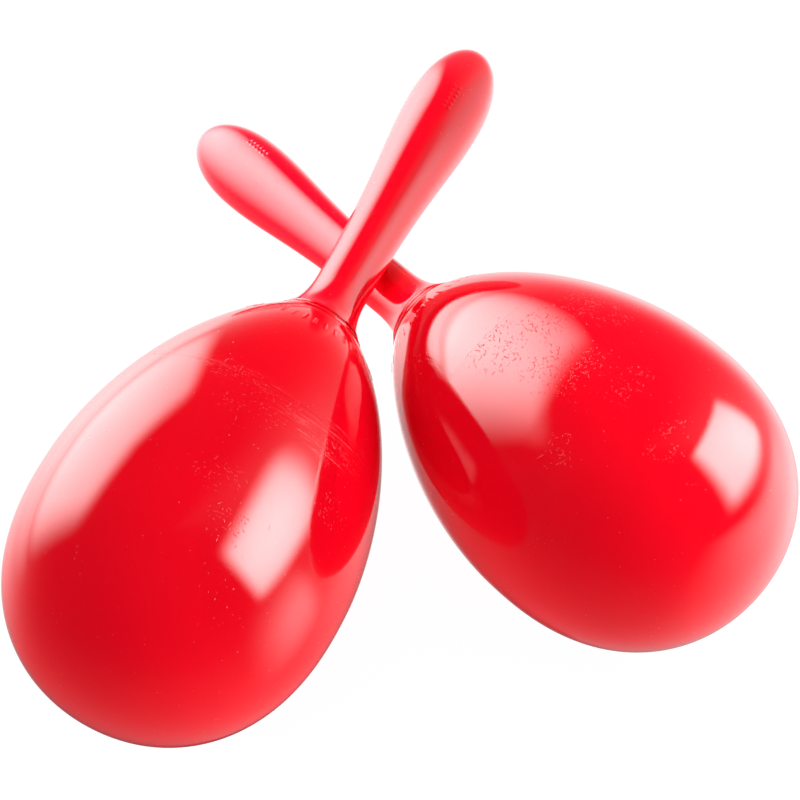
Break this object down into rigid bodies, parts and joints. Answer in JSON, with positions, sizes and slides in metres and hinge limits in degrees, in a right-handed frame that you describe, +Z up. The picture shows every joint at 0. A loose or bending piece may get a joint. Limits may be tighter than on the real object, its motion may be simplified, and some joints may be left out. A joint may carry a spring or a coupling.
{
  "type": "egg shaker",
  "caption": "Crossed pair of glossy red plastic egg shakers with slim handles: hollow welded eggs with loose steel shot inside.",
  "frame": {"origin": "on the plane that the pair lies on, under the middle of the pair's box", "axes": "+Z up from that plane; +Y from the eggs towards the crossed handles; +X from the left shaker's egg to the right one's"},
  "size_m": [0.1022, 0.1136, 0.045],
  "materials": {
    "egg_plastic": "polished red moulding with fine scuffs",
    "handle_plastic": "polished red moulding",
    "shot_steel": "tumbled steel balls"
  },
  "bodies": {
    "right_shaker": {"right_egg_round_half": "egg_plastic", "right_egg_neck_half": "egg_plastic", "right_handle": "handle_plastic"},
    "left_shaker": {"left_egg_round_half": "egg_plastic", "left_egg_neck_half": "egg_plastic", "left_handle": "handle_plastic"},
    "right_shot_01": {"right_shot_01": "shot_steel"},
    "right_shot_02": {"right_shot_02": "shot_steel"},
    "right_shot_03": {"right_shot_03": "shot_steel"},
    "right_shot_04": {"right_shot_04": "shot_steel"},
    "right_shot_05": {"right_shot_05": "shot_steel"},
    "right_shot_06": {"right_shot_06": "shot_steel"},
    "right_shot_07": {"right_shot_07": "shot_steel"},
    "right_shot_08": {"right_shot_08": "shot_steel"},
    "right_shot_09": {"right_shot_09": "shot_steel"},
    "right_shot_10": {"right_shot_10": "shot_steel"},
    "right_shot_11": {"right_shot_11": "shot_steel"},
    "right_shot_12": {"right_shot_12": "shot_steel"},
    "right_shot_13": {"right_shot_13": "shot_steel"},
    "right_shot_14": {"right_shot_14": "shot_steel"},
    "right_shot_15": {"right_shot_15": "shot_steel"},
    "right_shot_16": {"right_shot_16": "shot_steel"},
    "right_shot_17": {"right_shot_17": "shot_steel"},
    "right_shot_18": {"right_shot_18": "shot_steel"},
    "right_shot_19": {"right_shot_19": "shot_steel"},
    "right_shot_20": {"right_shot_20": "shot_steel"},
    "right_shot_21": {"right_shot_21": "shot_steel"},
    "right_shot_22": {"right_shot_22": "shot_steel"},
    "right_shot_23": {"right_shot_23": "shot_steel"},
    "right_shot_24": {"right_shot_24": "shot_steel"},
    "left_shot_01": {"left_shot_01": "shot_steel"},
    "left_shot_02": {"left_shot_02": "shot_steel"},
    "left_shot_03": {"left_shot_03": "shot_steel"},
    "left_shot_04": {"left_shot_04": "shot_steel"},
    "left_shot_05": {"left_shot_05": "shot_steel"},
    "left_shot_06": {"left_shot_06": "shot_steel"},
    "left_shot_07": {"left_shot_07": "shot_steel"},
    "left_shot_08": {"left_shot_08": "shot_steel"},
    "left_shot_09": {"left_shot_09": "shot_steel"},
    "left_shot_10": {"left_shot_10": "shot_steel"},
    "left_shot_11": {"left_shot_11": "shot_steel"},
    "left_shot_12": {"left_shot_12": "shot_steel"},
    "left_shot_13": {"left_shot_13": "shot_steel"},
    "left_shot_14": {"left_shot_14": "shot_steel"},
    "left_shot_15": {"left_shot_15": "shot_steel"},
    "left_shot_16": {"left_shot_16": "shot_steel"},
    "left_shot_17": {"left_shot_17": "shot_steel"},
    "left_shot_18": {"left_shot_18": "shot_steel"},
    "left_shot_19": {"left_shot_19": "shot_steel"},
    "left_shot_20": {"left_shot_20": "shot_steel"},
    "left_shot_21": {"left_shot_21": "shot_steel"},
    "left_shot_22": {"left_shot_22": "shot_steel"},
    "left_shot_23": {"left_shot_23": "shot_steel"},
    "left_shot_24": {"left_shot_24": "shot_steel"}
  },
  "joints": [
    {"name": "left_shaker_lift", "type": "slide", "parent": "right_shaker", "child": "left_shaker", "axis": [0, 0, 1], "range_m": [0, 0.1]},
    {"name": "right_shot_01_toss", "type": "slide", "parent": "right_shaker", "child": "right_shot_01", "axis": [0, 0, 1], "range_m": [0, 0.0311]},
    {"name": "right_shot_02_toss", "type": "slide", "parent": "right_shaker", "child": "right_shot_02", "axis": [0, 0, 1], "range_m": [0, 0.031]},
    {"name": "right_shot_03_toss", "type": "slide", "parent": "right_shaker", "child": "right_shot_03", "axis": [0, 0, 1], "range_m": [0, 0.0298]},
    {"name": "right_shot_04_toss", "type": "slide", "parent": "right_shaker", "child": "right_shot_04", "axis": [0, 0, 1], "range_m": [0, 0.0272]},
    {"name": "right_shot_05_toss", "type": "slide", "parent": "right_shaker", "child": "right_shot_05", "axis": [0, 0, 1], "range_m": [0, 0.0339]},
    {"name": "right_shot_06_toss", "type": "slide", "parent": "right_shaker", "child": "right_shot_06", "axis": [0, 0, 1], "range_m": [0, 0.0345]},
    {"name": "right_shot_07_toss", "type": "slide", "parent": "right_shaker", "child": "right_shot_07", "axis": [0, 0, 1], "range_m": [0, 0.0339]},
    {"name": "right_shot_08_toss", "type": "slide", "parent": "right_shaker", "child": "right_shot_08", "axis": [0, 0, 1], "range_m": [0, 0.0322]},
    {"name": "right_shot_09_toss", "type": "slide", "parent": "right_shaker", "child": "right_shot_09", "axis": [0, 0, 1], "range_m": [0, 0.0294]},
    {"name": "right_shot_10_toss", "type": "slide", "parent": "right_shaker", "child": "right_shot_10", "axis": [0, 0, 1], "range_m": [0, 0.0341]},
    {"name": "right_shot_11_toss", "type": "slide", "parent": "right_shaker", "child": "right_shot_11", "axis": [0, 0, 1], "range_m": [0, 0.0354]},
    {"name": "right_shot_12_toss", "type": "slide", "parent": "right_shaker", "child": "right_shot_12", "axis": [0, 0, 1], "range_m": [0, 0.0353]},
    {"name": "right_shot_13_toss", "type": "slide", "parent": "right_shaker", "child": "right_shot_13", "axis": [0, 0, 1], "range_m": [0, 0.0342]},
    {"name": "right_shot_14_toss", "type": "slide", "parent": "right_shaker", "child": "right_shot_14", "axis": [0, 0, 1], "range_m": [0, 0.032]},
    {"name": "right_shot_15_toss", "type": "slide", "parent": "right_shaker", "child": "right_shot_15", "axis": [0, 0, 1], "range_m": [0, 0.0288]},
    {"name": "right_shot_16_toss", "type": "slide", "parent": "right_shaker", "child": "right_shot_16", "axis": [0, 0, 1], "range_m": [0, 0.0339]},
    {"name": "right_shot_17_toss", "type": "slide", "parent": "right_shaker", "child": "right_shot_17", "axis": [0, 0, 1], "range_m": [0, 0.0345]},
    {"name": "right_shot_18_toss", "type": "slide", "parent": "right_shaker", "child": "right_shot_18", "axis": [0, 0, 1], "range_m": [0, 0.0339]},
    {"name": "right_shot_19_toss", "type": "slide", "parent": "right_shaker", "child": "right_shot_19", "axis": [0, 0, 1], "range_m": [0, 0.0322]},
    {"name": "right_shot_20_toss", "type": "slide", "parent": "right_shaker", "child": "right_shot_20", "axis": [0, 0, 1], "range_m": [0, 0.0294]},
    {"name": "right_shot_21_toss", "type": "slide", "parent": "right_shaker", "child": "right_shot_21", "axis": [0, 0, 1], "range_m": [0, 0.0311]},
    {"name": "right_shot_22_toss", "type": "slide", "parent": "right_shaker", "child": "right_shot_22", "axis": [0, 0, 1], "range_m": [0, 0.031]},
    {"name": "right_shot_23_toss", "type": "slide", "parent": "right_shaker", "child": "right_shot_23", "axis": [0, 0, 1], "range_m": [0, 0.0298]},
    {"name": "right_shot_24_toss", "type": "slide", "parent": "right_shaker", "child": "right_shot_24", "axis": [0, 0, 1], "range_m": [0, 0.0272]},
    {"name": "left_shot_01_toss", "type": "slide", "parent": "left_shaker", "child": "left_shot_01", "axis": [0, 0, 1], "range_m": [0, 0.0296]},
    {"name": "left_shot_02_toss", "type": "slide", "parent": "left_shaker", "child": "left_shot_02", "axis": [0, 0, 1], "range_m": [0, 0.0308]},
    {"name": "left_shot_03_toss", "type": "slide", "parent": "left_shaker", "child": "left_shot_03", "axis": [0, 0, 1], "range_m": [0, 0.0307]},
    {"name": "left_shot_04_toss", "type": "slide", "parent": "left_shaker", "child": "left_shot_04", "axis": [0, 0, 1], "range_m": [0, 0.0293]},
    {"name": "left_shot_05_toss", "type": "slide", "parent": "left_shaker", "child": "left_shot_05", "axis": [0, 0, 1], "range_m": [0, 0.0318]},
    {"name": "left_shot_06_toss", "type": "slide", "parent": "left_shaker", "child": "left_shot_06", "axis": [0, 0, 1], "range_m": [0, 0.0336]},
    {"name": "left_shot_07_toss", "type": "slide", "parent": "left_shaker", "child": "left_shot_07", "axis": [0, 0, 1], "range_m": [0, 0.0341]},
    {"name": "left_shot_08_toss", "type": "slide", "parent": "left_shaker", "child": "left_shot_08", "axis": [0, 0, 1], "range_m": [0, 0.0334]},
    {"name": "left_shot_09_toss", "type": "slide", "parent": "left_shaker", "child": "left_shot_09", "axis": [0, 0, 1], "range_m": [0, 0.0317]},
    {"name": "left_shot_10_toss", "type": "slide", "parent": "left_shaker", "child": "left_shot_10", "axis": [0, 0, 1], "range_m": [0, 0.0311]},
    {"name": "left_shot_11_toss", "type": "slide", "parent": "left_shaker", "child": "left_shot_11", "axis": [0, 0, 1], "range_m": [0, 0.034]},
    {"name": "left_shot_12_toss", "type": "slide", "parent": "left_shaker", "child": "left_shot_12", "axis": [0, 0, 1], "range_m": [0, 0.035]},
    {"name": "left_shot_13_toss", "type": "slide", "parent": "left_shaker", "child": "left_shot_13", "axis": [0, 0, 1], "range_m": [0, 0.0349]},
    {"name": "left_shot_14_toss", "type": "slide", "parent": "left_shaker", "child": "left_shot_14", "axis": [0, 0, 1], "range_m": [0, 0.0337]},
    {"name": "left_shot_15_toss", "type": "slide", "parent": "left_shaker", "child": "left_shot_15", "axis": [0, 0, 1], "range_m": [0, 0.0316]},
    {"name": "left_shot_16_toss", "type": "slide", "parent": "left_shaker", "child": "left_shot_16", "axis": [0, 0, 1], "range_m": [0, 0.0318]},
    {"name": "left_shot_17_toss", "type": "slide", "parent": "left_shaker", "child": "left_shot_17", "axis": [0, 0, 1], "range_m": [0, 0.0336]},
    {"name": "left_shot_18_toss", "type": "slide", "parent": "left_shaker", "child": "left_shot_18", "axis": [0, 0, 1], "range_m": [0, 0.0341]},
    {"name": "left_shot_19_toss", "type": "slide", "parent": "left_shaker", "child": "left_shot_19", "axis": [0, 0, 1], "range_m": [0, 0.0334]},
    {"name": "left_shot_20_toss", "type": "slide", "parent": "left_shaker", "child": "left_shot_20", "axis": [0, 0, 1], "range_m": [0, 0.0317]},
    {"name": "left_shot_21_toss", "type": "slide", "parent": "left_shaker", "child": "left_shot_21", "axis": [0, 0, 1], "range_m": [0, 0.0296]},
    {"name": "left_shot_22_toss", "type": "slide", "parent": "left_shaker", "child": "left_shot_22", "axis": [0, 0, 1], "range_m": [0, 0.0308]},
    {"name": "left_shot_23_toss", "type": "slide", "parent": "left_shaker", "child": "left_shot_23", "axis": [0, 0, 1], "range_m": [0, 0.0307]},
    {"name": "left_shot_24_toss", "type": "slide", "parent": "left_shaker", "child": "left_shot_24", "axis": [0, 0, 1], "range_m": [0, 0.0293]}
  ],
  "couplings": [
    {"joint": "right_shot_01_toss", "follows": "right_shot_11_toss", "ratio": 0.87853},
    {"joint": "right_shot_02_toss", "follows": "right_shot_11_toss", "ratio": 0.87571},
    {"joint": "right_shot_03_toss", "follows": "right_shot_11_toss", "ratio": 0.84181},
    {"joint": "right_shot_04_toss", "follows": "right_shot_11_toss", "ratio": 0.76836},
    {"joint": "right_shot_05_toss", "follows": "right_shot_11_toss", "ratio": 0.95763},
    {"joint": "right_shot_06_toss", "follows": "right_shot_11_toss", "ratio": 0.97458},
    {"joint": "right_shot_07_toss", "follows": "right_shot_11_toss", "ratio": 0.95763},
    {"joint": "right_shot_08_toss", "follows": "right_shot_11_toss", "ratio": 0.9096},
    {"joint": "right_shot_09_toss", "follows": "right_shot_11_toss", "ratio": 0.83051},
    {"joint": "right_shot_10_toss", "follows": "right_shot_11_toss", "ratio": 0.96328},
    {"joint": "right_shot_12_toss", "follows": "right_shot_11_toss", "ratio": 0.99718},
    {"joint": "right_shot_13_toss", "follows": "right_shot_11_toss", "ratio": 0.9661},
    {"joint": "right_shot_14_toss", "follows": "right_shot_11_toss", "ratio": 0.90395},
    {"joint": "right_shot_15_toss", "follows": "right_shot_11_toss", "ratio": 0.81356},
    {"joint": "right_shot_16_toss", "follows": "right_shot_11_toss", "ratio": 0.95763},
    {"joint": "right_shot_17_toss", "follows": "right_shot_11_toss", "ratio": 0.97458},
    {"joint": "right_shot_18_toss", "follows": "right_shot_11_toss", "ratio": 0.95763},
    {"joint": "right_shot_19_toss", "follows": "right_shot_11_toss", "ratio": 0.9096},
    {"joint": "right_shot_20_toss", "follows": "right_shot_11_toss", "ratio": 0.83051},
    {"joint": "right_shot_21_toss", "follows": "right_shot_11_toss", "ratio": 0.87853},
    {"joint": "right_shot_22_toss", "follows": "right_shot_11_toss", "ratio": 0.87571},
    {"joint": "right_shot_23_toss", "follows": "right_shot_11_toss", "ratio": 0.84181},
    {"joint": "right_shot_24_toss", "follows": "right_shot_11_toss", "ratio": 0.76836},
    {"joint": "left_shot_01_toss", "follows": "left_shot_12_toss", "ratio": 0.84571},
    {"joint": "left_shot_02_toss", "follows": "left_shot_12_toss", "ratio": 0.88},
    {"joint": "left_shot_03_toss", "follows": "left_shot_12_toss", "ratio": 0.87714},
    {"joint": "left_shot_04_toss", "follows": "left_shot_12_toss", "ratio": 0.83714},
    {"joint": "left_shot_05_toss", "follows": "left_shot_12_toss", "ratio": 0.90857},
    {"joint": "left_shot_06_toss", "follows": "left_shot_12_toss", "ratio": 0.96},
    {"joint": "left_shot_07_toss", "follows": "left_shot_12_toss", "ratio": 0.97429},
    {"joint": "left_shot_08_toss", "follows": "left_shot_12_toss", "ratio": 0.95429},
    {"joint": "left_shot_09_toss", "follows": "left_shot_12_toss", "ratio": 0.90571},
    {"joint": "left_shot_10_toss", "follows": "left_shot_12_toss", "ratio": 0.88857},
    {"joint": "left_shot_11_toss", "follows": "left_shot_12_toss", "ratio": 0.97143},
    {"joint": "left_shot_13_toss", "follows": "left_shot_12_toss", "ratio": 0.99714},
    {"joint": "left_shot_14_toss", "follows": "left_shot_12_toss", "ratio": 0.96286},
    {"joint": "left_shot_15_toss", "follows": "left_shot_12_toss", "ratio": 0.90286},
    {"joint": "left_shot_16_toss", "follows": "left_shot_12_toss", "ratio": 0.90857},
    {"joint": "left_shot_17_toss", "follows": "left_shot_12_toss", "ratio": 0.96},
    {"joint": "left_shot_18_toss", "follows": "left_shot_12_toss", "ratio": 0.97429},
    {"joint": "left_shot_19_toss", "follows": "left_shot_12_toss", "ratio": 0.95429},
    {"joint": "left_shot_20_toss", "follows": "left_shot_12_toss", "ratio": 0.90571},
    {"joint": "left_shot_21_toss", "follows": "left_shot_12_toss", "ratio": 0.84571},
    {"joint": "left_shot_22_toss", "follows": "left_shot_12_toss", "ratio": 0.88},
    {"joint": "left_shot_23_toss", "follows": "left_shot_12_toss", "ratio": 0.87714},
    {"joint": "left_shot_24_toss", "follows": "left_shot_12_toss", "ratio": 0.83714}
  ]
}
